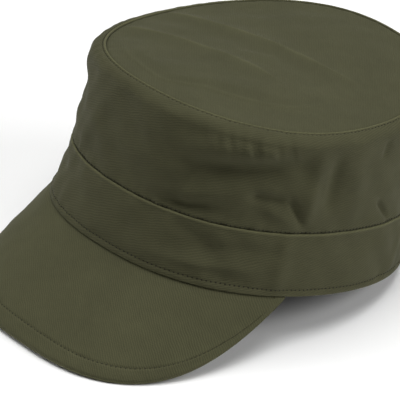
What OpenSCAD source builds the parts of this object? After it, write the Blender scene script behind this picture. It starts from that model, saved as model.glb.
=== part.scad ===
// Flat-topped field cap in cotton twill, with a curved stitched visor and a hook-and-loop rear closure.
// Units are millimetres.
// The cap is drawn level, hem on the plane z = 0, visor toward -Y, then it is pitched nose-up
// so that it stands on a table (z = 0) on the visor edge and on the rear corners of the hem.

/* [Hem and band] */
// hem length, front to back, outside
hem_len = 200; // [190:1:210]
// hem width, side to side, outside
hem_wid = 176; // [166:1:184]
// height of the sewn band
band_h = 32; // [28:1:36]
// band length at its top edge
band_top_len = 197; // [190:1:204]
// band width at its top edge
band_top_wid = 166; // [160:1:172]
// how far the top edge of the band sits back from the hem centre
band_top_back = 2.5; // [0:0.5:4]
// outline power at the front of the band, 2 is an ellipse
front_n = 2.25; // [2:0.05:2.4]
// outline power at the rear of the band
rear_n = 1.9; // [1.85:0.05:2.2]

/* [Crown] */
// height of the crown seam over the hem, at the middle
crown_h = 90.5; // [82:0.5:100]
// half of the height the rear of the crown gains over the front
crown_rise = 8; // [0:0.5:12]
// saddle of the crown seam: front and rear up, sides down
crown_saddle = 3.8; // [0:0.2:5]
// length of the top panel
crown_len = 176; // [168:1:184]
// width of the top panel
crown_wid = 150; // [144:1:158]
// how far the top panel sits forward of the hem centre
crown_fwd = 3.5; // [0:0.5:6]
// outline power of the top panel
crown_n = 2.15; // [2:0.05:2.4]
// how far the wall rolls outward past the crown seam
shoulder_out = 7; // [4:0.5:10]
// how far the wall rolls down from the crown seam
shoulder_drop = 6; // [4:0.5:8]
// rise of the top panel at its middle
top_dome = 2; // [0:0.5:5]

/* [Visor] */
// half of the arc of hem the visor is sewn to, in degrees
visor_arc = 66; // [58:1:72]
// how far the front of the visor stands out from the hem
visor_reach = 41; // [34:1:50]
// how far the front of the visor drops under the hem
visor_drop = 47; // [38:1:52]
// extra drop of the visor edge toward the sides
visor_curl = 10; // [4:0.5:14]
// outline power of the visor edge
visor_n = 2.7; // [2.3:0.1:3]
// whole thickness of the visor
visor_t = 4; // [3.6:0.1:5]
// distance of the stitch row from the visor edge
stitch_in = 9.5; // [7:0.5:12]

/* [Rear closure] */
// width of the arched opening at the hem
arch_w = 90; // [80:1:100]
// height of the arched opening
arch_h = 41; // [37:1:46]
// height of the two closing tabs
tab_h = 23; // [18:1:24]
// height of the lower edge of the tabs over the hem
tab_z = 4; // [3.5:0.5:5]
// how far the hook tab reaches past the middle
tab_reach = 25; // [18:1:27]

/* [Cloth] */
// thickness of one layer of outer cloth
cloth_t = 0.8; // [0.6:0.1:0.9]
// width of the seam tapes
tape_w = 10; // [8:1:12]

/* [Hidden] */

cols = 90;
hem_a = hem_len / 2;
hem_b = hem_wid / 2;
top_a = band_top_len / 2;
top_b = band_top_wid / 2;
crown_a = crown_len / 2;
crown_b = crown_wid / 2;
arch_p = 2.2;
// depths are measured inward from the outer face of the band
wall_d = 1.1;
inter_d = 2;
inter_t = 0.6;
sweat_d = 2.8;
sweat_t = 1;
tuck = 8;

olive = "#5b5a41";
olive_dark = "#4a4935";
board_white = "#d8d6cc";
stiff = "#c9c5b5";
nylon = "#45452f";

// ---------- small helpers ----------
function mix(a, b, f) = a + (b - a) * f;
function unit(v) = v / norm(v);
function ease(f) = let (g = min(max(f, 0), 1)) g * g * (3 - 2 * g);
function power(t, nf, nr) = nf * (0.5 + 0.5 * cos(t)) + nr * (0.5 - 0.5 * cos(t));
function span(n) = [for (i = [0:n]) i / n];

// one point of a rounded outline; t = 0 is the front, 90 the wearer's left, 180 the rear
function ring(t, a, b, back, z, nf, nr) =
    let (s = sin(t), c = cos(t), e = 2 / power(t, nf, nr))
    [b * sign(s) * pow(abs(s), e), back - a * sign(c) * pow(abs(c), e), z];

// ---------- surfaces of the cap ----------
function band_pt(t, z, d) =
    let (f = z / band_h)
    ring(t, mix(hem_a, top_a, f) - d, mix(hem_b, top_b, f) - d, mix(0, band_top_back, f), z,
         front_n, rear_n);

function seam_z(t) =
    let (c = cos(t))
    crown_h - crown_rise * sign(c) * pow(abs(c), 2 / crown_n) + crown_saddle * cos(2 * t);

// the roll of the wall over the crown edge; phi = 0 at the wall, 90 at the crown seam
function shoulder_pt(t, phi, d) =
    ring(t, crown_a + (shoulder_out - d) * cos(phi), crown_b + (shoulder_out - d) * cos(phi),
         -crown_fwd, seam_z(t) - shoulder_drop + (shoulder_drop - d) * sin(phi), crown_n, crown_n);

// the wall at a height z, behind the band below its top edge
function wall_pt(t, z, d) =
    let (up = shoulder_pt(t, 0, d))
    z <= band_h ? band_pt(t, z, wall_d + d)
                : mix(band_pt(t, band_h, wall_d + d), up, (z - band_h) / (up[2] - band_h));

// the top panel; r = 1 at the crown seam
function top_pt(t, r, d) =
    let (c = cos(t))
    ring(t, crown_a * r, crown_b * r, -crown_fwd,
         crown_h - crown_rise * sign(c) * pow(abs(c), 2 / crown_n) * r
         + crown_saddle * cos(2 * t) * r * r + top_dome * (1 - r * r) - d, crown_n, crown_n);

// ---------- rear opening ----------
// q runs across the rear, about the distance from the middle
function q_angle(q) = 180 - sign(q) * asin(pow(min(abs(q) / hem_b, 1), rear_n / 2));
function angle_q(t) = cos(t) > 0 ? hem_b : hem_b * pow(abs(sin(t)), 2 / rear_n);
function arch_z(q, grow) =
    let (w = arch_w / 2 + grow, h = arch_h + grow)
    abs(q) >= w ? 0 : h * pow(1 - pow(abs(q) / w, arch_p), 1 / arch_p);
function arch_q(z, grow) =
    let (w = arch_w / 2 + grow, h = arch_h + grow)
    z >= h ? 0 : w * pow(1 - pow(z / h, arch_p), 1 / arch_p);
function rear_pt(q, z, d) =
    z <= band_h ? band_pt(q_angle(q), z, d) : wall_pt(q_angle(q), z, d - wall_d);

// ---------- visor ----------
visor_end = ring(visor_arc, hem_a, hem_b, 0, 0, front_n, rear_n);
function visor_root(phi) =
    let (p = band_pt(visor_arc * phi / 90, 0, 0))
    [p[0], p[1], -0.45];
function visor_edge(phi) =
    let (c = pow(abs(cos(phi)), 2 / visor_n))
    [visor_end[0] * sign(sin(phi)) * pow(abs(sin(phi)), 2 / visor_n),
     mix(visor_end[1], -hem_a - visor_reach, c),
     -visor_drop * c - visor_curl * 4 * c * (1 - c) - 0.45];
function visor_skin(phi, f) = mix(visor_root(phi), visor_edge(phi), f);
function visor_out(phi) = unit(visor_edge(phi) - visor_root(phi));
function visor_normal(phi) =
    let (s = phi > 0 ? -1 : 1,
         n = unit(cross((visor_skin(phi + s, 0.5) - visor_skin(phi, 0.5)) * s,
                        visor_edge(phi) - visor_root(phi))))
    n * (n[2] < 0 ? -1 : 1);
function visor_len(phi) = norm(visor_edge(phi) - visor_root(phi));
function sink(p) = [p[0], p[1], min(p[2], -0.45)];
// a point at part f of the way to the rounded edge, h under the upper skin
function visor_pt(phi, f, h) =
    sink(visor_root(phi) + visor_out(phi) * (visor_len(phi) - visor_t / 2) * f
         - visor_normal(phi) * h);
// a point on the rounded edge; turn = 0 on top, 180 underneath; r is the radius
function visor_roll(phi, turn, r) =
    sink(visor_root(phi) + visor_out(phi) * (visor_len(phi) - visor_t / 2 + r * sin(turn))
         - visor_normal(phi) * (visor_t / 2 - r * cos(turn)));
visor_cols = [for (i = span(44)) 89.3 * sin(-90 + 180 * i)];

// ---------- standing pose ----------
corner = band_pt(q_angle(arch_w / 2 + 1), 0, 0);
edge_pts = [for (phi = visor_cols) for (turn = [0:10:180]) visor_roll(phi, turn, visor_t / 2)];
pitch = max([for (p = edge_pts) atan2(-p[2], corner[1] - p[1])]);
lift = corner[1] * sin(pitch);
function posed(p) = [p[0], p[1] * cos(pitch) + p[2] * sin(pitch),
                     p[2] * cos(pitch) - p[1] * sin(pitch) + lift];
front_y = min([for (p = edge_pts) posed(p)[1]]);
rear_y = max([for (phi = [0, 20, 40, 60, 77, 90]) posed(shoulder_pt(180, phi, 0))[1]]);
slide_y = -(front_y + rear_y) / 2;

module stand() {
    translate([0, slide_y, lift])
        rotate([-pitch, 0, 0])
            children();
}

// ---------- closed skins from two matching grids of points ----------
// rows of outer points and rows of inner points, open at all four borders
module sheet(outer, inner) {
    r = len(outer);
    c = len(outer[0]);
    n = r * c;
    pts = [for (row = outer) each row, for (row = inner) each row];
    faces = [
        for (i = [0:r - 2]) for (j = [0:c - 2]) let (a = i * c + j) each
            [[a, a + 1, a + c + 1], [a, a + c + 1, a + c],
             [n + a, n + a + c + 1, n + a + 1], [n + a, n + a + c, n + a + c + 1]],
        for (j = [0:c - 2]) let (a = j, b = (r - 1) * c + j) each
            [[a, n + a + 1, a + 1], [a, n + a, n + a + 1],
             [b, b + 1, n + b + 1], [b, n + b + 1, n + b]],
        for (i = [0:r - 2]) let (a = i * c, b = i * c + c - 1) each
            [[a, a + c, n + a + c], [a, n + a + c, n + a],
             [b, n + b + c, b + c], [b, n + b, n + b + c]]
    ];
    polyhedron(points = pts, faces = faces, convexity = 8);
}

// rows of outer points and rows of inner points, closed all the way round
module loop(outer, inner) {
    r = len(outer);
    c = len(outer[0]);
    n = r * c;
    pts = [for (row = outer) each row, for (row = inner) each row];
    faces = [
        for (i = [0:r - 2]) for (j = [0:c - 1])
            let (a = i * c + j, b = i * c + (j + 1) % c) each
            [[a, b, b + c], [a, b + c, a + c],
             [n + a, n + b + c, n + b], [n + a, n + a + c, n + b + c]],
        for (j = [0:c - 1])
            let (a = j, b = (j + 1) % c, e = (r - 1) * c) each
            [[a, n + b, b], [a, n + a, n + b],
             [e + a, e + b, n + e + b], [e + a, n + e + b, n + e + a]]
    ];
    polyhedron(points = pts, faces = faces, convexity = 8);
}

// a round panel: rings from the edge inward, closed by a middle point on each face
module disc(outer, inner, mid_out, mid_in) {
    r = len(outer);
    c = len(outer[0]);
    n = r * c;
    pts = [for (row = outer) each row, for (row = inner) each row, mid_out, mid_in];
    last = (r - 1) * c;
    faces = [
        for (i = [0:r - 2]) for (j = [0:c - 1])
            let (a = i * c + j, b = i * c + (j + 1) % c) each
            [[a, b, b + c], [a, b + c, a + c],
             [n + a, n + b + c, n + b], [n + a, n + a + c, n + b + c]],
        for (j = [0:c - 1])
            let (a = j, b = (j + 1) % c) each
            [[a, n + b, b], [a, n + a, n + b],
             [last + a, last + b, 2 * n], [n + last + a, 2 * n + 1, n + last + b]]
    ];
    polyhedron(points = pts, faces = faces, convexity = 4);
}

// a closed section swept through a list of stations
module sweep(stations) {
    r = len(stations);
    c = len(stations[0]);
    faces = [
        for (i = [0:r - 2]) for (j = [0:c - 1])
            let (a = i * c + j, b = i * c + (j + 1) % c) each
            [[a, b + c, b], [a, a + c, b + c]],
        [for (j = [0:c - 1]) j],
        [for (j = [c - 1:-1:0]) (r - 1) * c + j]
    ];
    polyhedron(points = [for (s = stations) each s], faces = faces, convexity = 8);
}

// angles of a strip that runs round the front from one side of the rear opening to the other
function strip(z, grow) =
    let (e = q_angle(arch_q(z, grow)))
    [for (u = span(cols)) e * (1 - 2 * u)];
function band_rows(z0, z1, d, grow) =
    [for (i = [0:4]) let (z = mix(z0, z1, i / 4)) [for (t = strip(z, grow)) band_pt(t, z, d)]];

ring_cols = [for (i = [0:cols - 1]) 180 - i * 360 / cols];

// ---------- crown ----------
module crown_top() {
    rr = [0.9965, 0.94, 0.84, 0.7, 0.54, 0.36, 0.18];
    color(olive) stand()
        disc([for (r = rr) [for (t = ring_cols) top_pt(t, r, 0)]],
             [for (r = rr) [for (t = ring_cols) top_pt(t, r, cloth_t)]],
             top_pt(0, 0, 0), top_pt(0, 0, cloth_t));
}

function wall_low(t) = max(band_h - tuck, arch_z(angle_q(t), 1));
// one row of the wall lies exactly at the band's top edge, where the wall changes direction
function wall_row_z(z0, z1, g) = g == 0 ? z0 : mix(max(band_h, mix(z0, z1, 0.05)), z1, g - 1);
function wall_rows(d) = concat(
    [for (g = [0, 1, 1.2, 1.4, 1.6, 1.8])
        [for (t = ring_cols) wall_pt(t, wall_row_z(wall_low(t), shoulder_pt(t, 0, d)[2], g), d)]],
    [for (phi = [0, 20, 40, 60, 77, 90]) [for (t = ring_cols) shoulder_pt(t, phi, d)]]);

module crown_side() {
    color(olive) stand() loop(wall_rows(0), wall_rows(cloth_t));
}

// a stiff layer that keeps the front of the crown upright
module crown_front_interlining() {
    tt = [for (u = span(28)) mix(62, -62, u)];
    function rows(d) = [for (g = span(6)) [for (t = tt)
        let (z1 = shoulder_pt(t, 0, d)[2]) wall_pt(t, mix(band_h + 3, z1 - 1, g), d)]];
    color(stiff) stand() sheet(rows(cloth_t + 0.2), rows(cloth_t + 0.7));
}

// a tape that covers the raw edges of the crown seam on the inside
module crown_seam_tape() {
    rr = [1 + 1.5 / crown_a, 1 - (tape_w - 1.5) / 2 / crown_a, 1 - (tape_w - 1.5) / crown_a];
    color(olive_dark) stand()
        loop([for (r = rr) [for (t = ring_cols) top_pt(t, r, cloth_t + 0.35)]],
             [for (r = rr) [for (t = ring_cols) top_pt(t, r, cloth_t + 0.85)]]);
}

// a tape down the inside of the back seam, from the crown to the arch
module back_seam_tape() {
    function rows(d) = [for (g = span(6)) [for (q = [-1, -0.5, 0, 0.5, 1])
        let (t = q_angle(q * tape_w / 2), z1 = shoulder_pt(t, 0, d)[2] - 2)
        wall_pt(t, mix(arch_h + 8.5, z1, g), d)]];
    color(olive_dark) stand() sheet(rows(cloth_t + 0.2), rows(cloth_t + 0.7));
}

// ---------- band ----------
module band_outer() {
    color(olive) stand() sheet(band_rows(0, band_h, 0, 1), band_rows(0, band_h, cloth_t, 1));
}

module band_interlining() {
    color(stiff) stand()
        sheet(band_rows(1, band_h - tuck - 1, inter_d, 1),
              band_rows(1, band_h - tuck - 1, inter_d + inter_t, 1));
}

module sweatband() {
    color(olive_dark) stand()
        sheet(band_rows(0.5, band_h + 1, sweat_d, 1),
              band_rows(0.5, band_h + 1, sweat_d + sweat_t, 1));
}

module care_label() {
    function rows(d) = [for (z = [6, 15, 24]) [for (u = span(6)) band_pt(mix(118, 96, u), z, d)]];
    d0 = sweat_d + sweat_t + 0.15;
    color("white") stand() sheet(rows(d0), rows(d0 + 0.3));
}

// ---------- visor ----------
flange = [7, 3];
// the cover turns up behind the hem, runs out to the edge and rolls half way round it
module visor_cover_top() {
    function rows(h) = concat(
        [for (z = flange) [for (p = visor_cols) band_pt(visor_arc * p / 90, z, wall_d + h)]],
        [[for (p = visor_cols) let (b = band_pt(visor_arc * p / 90, 0, wall_d + h))
            [b[0], b[1], -0.45 - h * 0.6]]],
        [for (f = [0.06, 0.3, 0.55, 0.8, 1]) [for (p = visor_cols) visor_pt(p, f, h)]],
        [for (turn = [35, 65, 87]) [for (p = visor_cols) visor_roll(p, turn, visor_t / 2 - h)]]);
    color(olive) stand() sheet(rows(0), rows(cloth_t - 0.1));
}

module visor_board() {
    g = cloth_t + 0.1;
    r = visor_t / 2 - g;
    top = concat(
        [for (f = [0.06, 0.3, 0.55, 0.8, 1]) [for (p = visor_cols) visor_pt(p, f, g)]],
        [for (turn = [45, 85]) [for (p = visor_cols) visor_roll(p, turn, r)]]);
    low = concat(
        [for (f = [0.06, 0.3, 0.55, 0.8, 1]) [for (p = visor_cols) visor_pt(p, f, visor_t - g)]],
        [for (turn = [135, 95]) [for (p = visor_cols) visor_roll(p, turn, r)]]);
    color(board_white) stand() sheet(top, low);
}

module visor_cover_bottom() {
    function rows(h) = concat(
        [for (f = [0.06, 0.3, 0.55, 0.8, 1]) [for (p = visor_cols) visor_pt(p, f, visor_t - h)]],
        [for (turn = [145, 115, 93]) [for (p = visor_cols)
            visor_roll(p, turn, visor_t / 2 - h)]]);
    color(olive_dark) stand() sheet(rows(cloth_t - 0.1), rows(0));
}

// ---------- rear closure ----------
// a folded tape that wraps the raw edge of the arch on both faces
module arch_binding() {
    leg = 6;
    th = 0.6;
    function out_d(z) = mix(-0.8, 0.2, ease((z - band_h - 1) / 5));
    function in_d(z) = mix(4.7, 2.7, ease((z - band_h - 2) / 5));
    function place(psi, e, side, skin) =
        let (w = arch_w / 2, k = 2 / arch_p,
             q0 = w * sign(cos(psi)) * pow(abs(cos(psi)), k),
             z0 = arch_h * pow(abs(sin(psi)), k),
             n = unit([sign(cos(psi)) * pow(abs(cos(psi)), 2 - k) / w,
                       pow(abs(sin(psi)), 2 - k) / arch_h]),
             q = q0 + n[0] * e, z = z0 + n[1] * e,
             d = side < 0 ? out_d(z) + skin : in_d(z) - skin)
        rear_pt(q, z, d);
    color(olive) stand()
        sweep([for (u = span(44)) let (psi = mix(0.5, 179.5, u))
            [place(psi, 0, -1, 0), place(psi, leg, -1, 0), place(psi, leg, -1, th),
             place(psi, th, -1, th), place(psi, th, 1, th), place(psi, leg, 1, th),
             place(psi, leg, 1, 0), place(psi, 0, 1, 0)]]);
}

// the root of each tab runs along the side of the arch
function root_q(z) =
    let (z1 = tab_z + tab_h, q0 = arch_q(tab_z, 0) - 2.5, q1 = arch_q(z1, 0) - 2.5)
    mix(q0, q1, (z - tab_z) / tab_h);

module loop_tab() {
    zz = [for (i = [0:4]) tab_z + tab_h * i / 4];
    function rows(d) = [for (z = zz) [for (u = span(20)) rear_pt(mix(root_q(z), -15, u), z, d)]];
    color(olive) stand() sheet(rows(1.2), rows(2.2));
}

module loop_patch() {
    zz = [for (i = [0:3]) tab_z + 2 + (tab_h - 4) * i / 3];
    function rows(d) = [for (z = zz) [for (u = span(14)) rear_pt(mix(24, -13, u), z, d)]];
    color(nylon) stand() sheet(rows(0.15), rows(1.05));
}

// the hook tab leaves the side of the arch level with the band and climbs over the loop tab
function hook_d(u) = mix(0.3, -2.1, ease(u / 0.35));
module hook_tab() {
    zz = [for (i = [0:4]) tab_z + tab_h * i / 4];
    function rows(d) = [for (z = zz) [for (u = span(24))
        rear_pt(mix(tab_reach, -root_q(z), u), z, hook_d(1 - u) + d)]];
    color(olive) stand() sheet(rows(0), rows(1));
}

module hook_patch() {
    zz = [for (i = [0:3]) tab_z + 2 + (tab_h - 4) * i / 3];
    function rows(d) = [for (z = zz) [for (u = span(12)) rear_pt(mix(tab_reach - 3, -12, u), z, d)]];
    color(nylon) stand() sheet(rows(-0.95), rows(-0.2));
}

// ---------- sewing threads that lie on the cloth ----------
module visor_thread() {
    pp = [for (p = visor_cols) if (visor_len(p) > stitch_in + 8) p];
    function spot(p, e, h) =
        let (whole = visor_len(p))
        visor_pt(p, (whole - stitch_in + e) / (whole - visor_t / 2), h);
    color(olive_dark) stand()
        sweep([for (p = pp)
            [spot(p, 0, -0.1), spot(p, 0.5, -0.1), spot(p, 0.5, -0.45), spot(p, 0, -0.45)]]);
}

module hem_thread() {
    color(olive_dark) stand()
        sweep([for (u = span(cols)) let (t = mix(140, -140, u))
            [band_pt(t, 3, -0.45), band_pt(t, 3.5, -0.45),
             band_pt(t, 3.5, -0.12), band_pt(t, 3, -0.12)]]);
}

// a row of stitches just below the top edge of the wall
module crown_thread() {
    function row(phi, d) = [for (t = ring_cols) shoulder_pt(t, phi, d)];
    color(olive_dark) stand()
        loop([row(76, -0.45), row(79.5, -0.45)], [row(76, -0.12), row(79.5, -0.12)]);
}

// a row of stitches on the wall, just over the top edge of the band
module band_top_thread() {
    z0 = band_h + 0.9;
    color(olive_dark) stand()
        sweep([for (t = ring_cols) if (abs(t) < 153)
            [wall_pt(t, z0, -0.45), wall_pt(t, z0 + 0.5, -0.45), wall_pt(t, z0 + 0.5, -0.12),
             wall_pt(t, z0, -0.12)]]);
}

crown_top();
crown_side();
crown_front_interlining();
crown_seam_tape();
back_seam_tape();
band_outer();
band_interlining();
sweatband();
visor_cover_top();
visor_board();
visor_cover_bottom();
arch_binding();
loop_tab();
loop_patch();
hook_tab();
hook_patch();
care_label();
visor_thread();
hem_thread();
band_top_thread();
crown_thread();
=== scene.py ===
import math
import bmesh
import bpy
import numpy as np
from mathutils import Matrix, Vector


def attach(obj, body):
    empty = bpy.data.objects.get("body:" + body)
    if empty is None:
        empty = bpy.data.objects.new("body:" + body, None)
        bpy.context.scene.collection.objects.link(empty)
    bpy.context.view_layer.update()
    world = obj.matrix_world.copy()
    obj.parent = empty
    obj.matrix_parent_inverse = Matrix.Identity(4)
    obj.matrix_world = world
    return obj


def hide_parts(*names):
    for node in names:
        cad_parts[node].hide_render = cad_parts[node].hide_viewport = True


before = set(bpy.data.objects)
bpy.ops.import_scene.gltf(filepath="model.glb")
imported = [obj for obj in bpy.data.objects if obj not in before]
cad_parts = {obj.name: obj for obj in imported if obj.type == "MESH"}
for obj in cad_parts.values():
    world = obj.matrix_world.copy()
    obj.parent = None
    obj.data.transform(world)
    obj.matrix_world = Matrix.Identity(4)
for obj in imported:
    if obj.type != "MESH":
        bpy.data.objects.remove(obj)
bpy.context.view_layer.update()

# ---------------------------------------------------------------- sizes, in millimetres, as in the CAD
HEM_A, HEM_B = 100.0, 88.0
BAND_H = 32.0
TOP_A, TOP_B, TOP_BACK = 98.5, 83.0, 2.5
FRONT_N, REAR_N = 2.25, 1.9
CROWN_H, CROWN_RISE, CROWN_SADDLE = 90.5, 8.0, 3.8
CROWN_A, CROWN_B, CROWN_FWD, CROWN_N = 88.0, 75.0, 3.5, 2.15
ROLL_OUT, ROLL_DROP, DOME = 7.0, 6.0, 2.0
VISOR_ARC, VISOR_REACH, VISOR_DROP, VISOR_CURL, VISOR_N, VISOR_T = 66.0, 41.0, 47.0, 10.0, 2.7, 4.0
STITCH_IN = 9.5
ARCH_W, ARCH_H, ARCH_P = 90.0, 41.0, 2.2
TAB_H, TAB_Z, TAB_REACH = 23.0, 4.0, 25.0
CLOTH = 0.8
WALL_D, INTER_D, SWEAT_D = 1.1, 2.0, 2.8
TUCK = 8.0
PITCH, LIFT, SLIDE = math.radians(12.835), 18.577, 18.284
STITCH_PITCH = 2.4
HEM_ROW, BAND_ROW, CROWN_ROW = 3.25, BAND_H + 1.0, 1.75
# the roll is laid out over this run of cloth, from the crown seam down
ROLL_SPAN = 11.0
# height of the visor's sewn edge
VISOR_FOOT = -0.45
# a visor shorter than this, from hem to edge, has no stitch row
STITCHED = STITCH_IN + 8
# radius of the drum that carries the noise of wall and band
DRUM = 92.0
# the crown seam is puckered on this stretch of the wearer's left front: middle and half width
PUCKER_AT, PUCKER_HALF = 43, 17


# ---------------------------------------------------------------- small maths
def rad(t):
    return np.radians(np.asarray(t, float))


def mix(a, b, f):
    return a + (b - a) * f


def ease(f):
    g = np.clip(f, 0, 1)
    return g * g * (3 - 2 * g)


def spow(v, e):
    return np.sign(v) * np.abs(v) ** e


def stack(x, y, z):
    x, y, z = np.broadcast_arrays(x, y, z)
    return np.stack([x, y, z], -1).astype(float)


def stand(p):
    """From the level cap, in millimetres, to the standing cap, in metres."""
    c, s = math.cos(PITCH), math.sin(PITCH)
    x, y, z = p[..., 0], p[..., 1], p[..., 2]
    return stack(x, y * c + z * s + SLIDE, z * c - y * s + LIFT) / 1000


def drum(t, z):
    """A place on the drum, for noise that runs round the cap without a join."""
    return stack(DRUM * np.sin(rad(t)), -DRUM * np.cos(rad(t)), z)


def signed(t):
    """The same angle, between -180 and 180."""
    return (t + 180) % 360 - 180


def waves(p, length, seed, count=7):
    """Smooth noise of about unit height that is the same each run."""
    rng = np.random.default_rng(seed)
    out = np.zeros(p.shape[:-1])
    for _ in range(count):
        k = rng.normal(size=3)
        k *= 2 * np.pi / (length * rng.uniform(0.75, 1.4) * np.linalg.norm(k))
        out += np.sin(p @ k + rng.uniform(0, 2 * np.pi))
    return out / math.sqrt(count / 2)


# ---------------------------------------------------------------- surfaces of the cap
def outline(t, a, b, back, z, nf, nr):
    s, c = np.sin(rad(t)), np.cos(rad(t))
    e = 2 / (nf * (0.5 + 0.5 * c) + nr * (0.5 - 0.5 * c))
    return stack(b * spow(s, e), back - a * spow(c, e), z)


def seam_z(t):
    c = np.cos(rad(t))
    return CROWN_H - CROWN_RISE * spow(c, 2 / CROWN_N) + CROWN_SADDLE * np.cos(2 * rad(t))


def band_pt(t, z, d):
    f = np.asarray(z, float) / BAND_H
    return outline(t, mix(HEM_A, TOP_A, f) - d, mix(HEM_B, TOP_B, f) - d, mix(0, TOP_BACK, f), z,
                   FRONT_N, REAR_N)


def roll_pt(t, phi, d):
    c, s = np.cos(rad(phi)), np.sin(rad(phi))
    return outline(t, CROWN_A + (ROLL_OUT - d) * c, CROWN_B + (ROLL_OUT - d) * c, -CROWN_FWD,
                   seam_z(t) - ROLL_DROP + (ROLL_DROP - d) * s, CROWN_N, CROWN_N)


def wall_pt(t, z, d):
    t, z, d = np.broadcast_arrays(np.asarray(t, float), np.asarray(z, float), np.asarray(d, float))
    up = roll_pt(t, 0, d)
    low = band_pt(t, BAND_H, WALL_D + d)
    f = ((z - BAND_H) / (up[..., 2] - BAND_H))[..., None]
    return np.where((z <= BAND_H)[..., None], band_pt(t, z, WALL_D + d), mix(low, up, f))


def top_pt(t, r, d):
    c = np.cos(rad(t))
    z = (CROWN_H - CROWN_RISE * spow(c, 2 / CROWN_N) * r + CROWN_SADDLE * np.cos(2 * rad(t)) * r * r
         + DOME * (1 - r * r) - d)
    return outline(t, CROWN_A * r, CROWN_B * r, -CROWN_FWD, z, CROWN_N, CROWN_N)


def q_angle(q):
    return 180 - np.sign(q) * np.degrees(np.arcsin((np.abs(q) / HEM_B) ** (REAR_N / 2)))


def angle_q(t):
    return np.where(np.cos(rad(t)) > 0, HEM_B, HEM_B * np.abs(np.sin(rad(t))) ** (2 / REAR_N))


def arch_z(q, grow):
    w, h = ARCH_W / 2 + grow, ARCH_H + grow
    return h * np.clip(1 - np.clip(np.abs(q) / w, 0, 1) ** ARCH_P, 0, 1) ** (1 / ARCH_P)


def arch_q(z, grow):
    w, h = ARCH_W / 2 + grow, ARCH_H + grow
    return w * np.clip(1 - np.clip(np.asarray(z, float) / h, 0, 1) ** ARCH_P, 0, 1) ** (1 / ARCH_P)


def rear_pt(q, z, d):
    q, z, d = np.broadcast_arrays(np.asarray(q, float), np.asarray(z, float), np.asarray(d, float))
    t = q_angle(q)
    return np.where((z <= BAND_H)[..., None], band_pt(t, z, d), wall_pt(t, z, d - WALL_D))


# ---------------------------------------------------------------- folds in the cloth
def fold(t, z, t0, z0, along, across, lean, height):
    """One fold: mm of outward rise over the smooth shape, at the angle t and the height z."""
    a = (t - t0) * 1.6
    b = z - z0
    c, s = math.cos(math.radians(lean)), math.sin(math.radians(lean))
    p, q = a * c + b * s, b * c - a * s
    return height * np.exp(-(p / along) ** 4) * np.exp(-(q / across) ** 2)


FOLDS = [
    # angle, height, half length, half width, lean, rise
    (27, 37.3, 15, 3.5, 12, -2.7),
    (28, 45.5, 17, 4.2, 12, 1.7),
    (42, 62.5, 30, 5.4, 8, -3.4),
    (43, 73.0, 34, 6.0, 8, 2.6),
    (40, 51.0, 14, 4.4, 4, 1.0),
    (53.5, 49.4, 10, 3.0, -6, -3.0),
    (63.5, 43.6, 8.5, 2.0, -58, -1.9),
    (58, 41, 9, 3.0, -20, 0.8),
    (68, 56, 19, 4.6, 84, 2.2),
    (75.5, 60, 15, 4.2, 88, -2.2),
    (84, 56, 22, 6.0, 92, 1.3),
    (98, 40, 8, 1.6, -48, -1.9),
    (94, 75, 5, 2.2, 85, -1.0),
    (24, 49, 12, 3.0, 62, -0.8),
    (12, 62, 26, 12, 80, 0.7),
    (-20, 58, 30, 12, 60, 0.9),
    (-62, 46, 16, 4.2, 30, -1.8),
    (-70, 58, 18, 6.0, 100, 1.7),
    (-48, 61, 28, 7.5, -4, -1.9),
    (-96, 60, 20, 7.0, 75, -1.5),
    (-112, 44, 12, 3.4, 35, -1.5),
    (-135, 62, 20, 8.0, 100, 1.3),
    (118, 52, 20, 6.5, 105, 1.5),
    (132, 60, 18, 5.0, 70, -1.6),
    (150, 48, 14, 4.0, -30, -1.2),
    (176, 66, 22, 8.0, 5, -1.2),
    (-160, 52, 12, 3.6, 40, -1.1),
    # on the band
    (37, 11, 27, 2.8, 3, 1.1),
    (46, 20, 26, 4.4, 4, -1.5),
    (28, 24.5, 10, 3.6, -14, -0.8),
    (61.5, 16, 22, 4.6, 88, 1.5),
    (50, 4, 18, 3.0, 0, -0.3),
    (84, 18, 20, 9.0, 60, -0.5),
    (-61, 16, 22, 6.0, 90, 1.2),
    (-42, 20, 24, 5.0, -4, -1.0),
    (110, 14, 16, 4.0, 70, 0.6),
    (-100, 16, 16, 4.5, 110, 0.6),
]


def rise(t, z):
    """How far the cloth of the wall and band stands out from the smooth shape."""
    t, z = np.broadcast_arrays(np.asarray(t, float), np.asarray(z, float))
    out = np.zeros(t.shape)
    for f in FOLDS:
        out += fold(signed(signed(t) - f[0]) + f[0], z, *f)
    p = drum(t, z)
    out += 0.50 * waves(p, 44, 11) + 0.24 * waves(p, 16, 12)
    # the cloth is held at the hem, at the band's top edge, at the crown seam and round the arch
    held = ease(z / 7) * (1 - 0.75 * np.exp(-((z - BAND_H) / 3.0) ** 2))
    held = held * ease((seam_z(t) + 1 - z) / 9)
    arch = np.where(np.cos(rad(t)) < 0, np.hypot(angle_q(t) / 62, z / 56), 9)
    near = np.exp(-(((signed(t) - PUCKER_AT) / PUCKER_HALF) ** 4))
    near = near * np.exp(-((seam_z(t) - 9.5 - z) / 5.0) ** 2)
    # the puckers lean a little as they run down
    ring = drum(t, 0 * z)
    ring[..., 0] += 0.35 * z
    return out * held * ease((arch - 0.86) / 0.25) + 0.9 * near * np.tanh(waves(ring, 7.5, 34, 6))


def seam_pull(t, dist, reach, size, seed):
    """Small puckers that fade away from a line of stitches."""
    p = drum(t, np.zeros(np.shape(t)))
    return size * np.exp(-np.abs(dist) / reach) * waves(p, 7.5, seed, 6)


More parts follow.
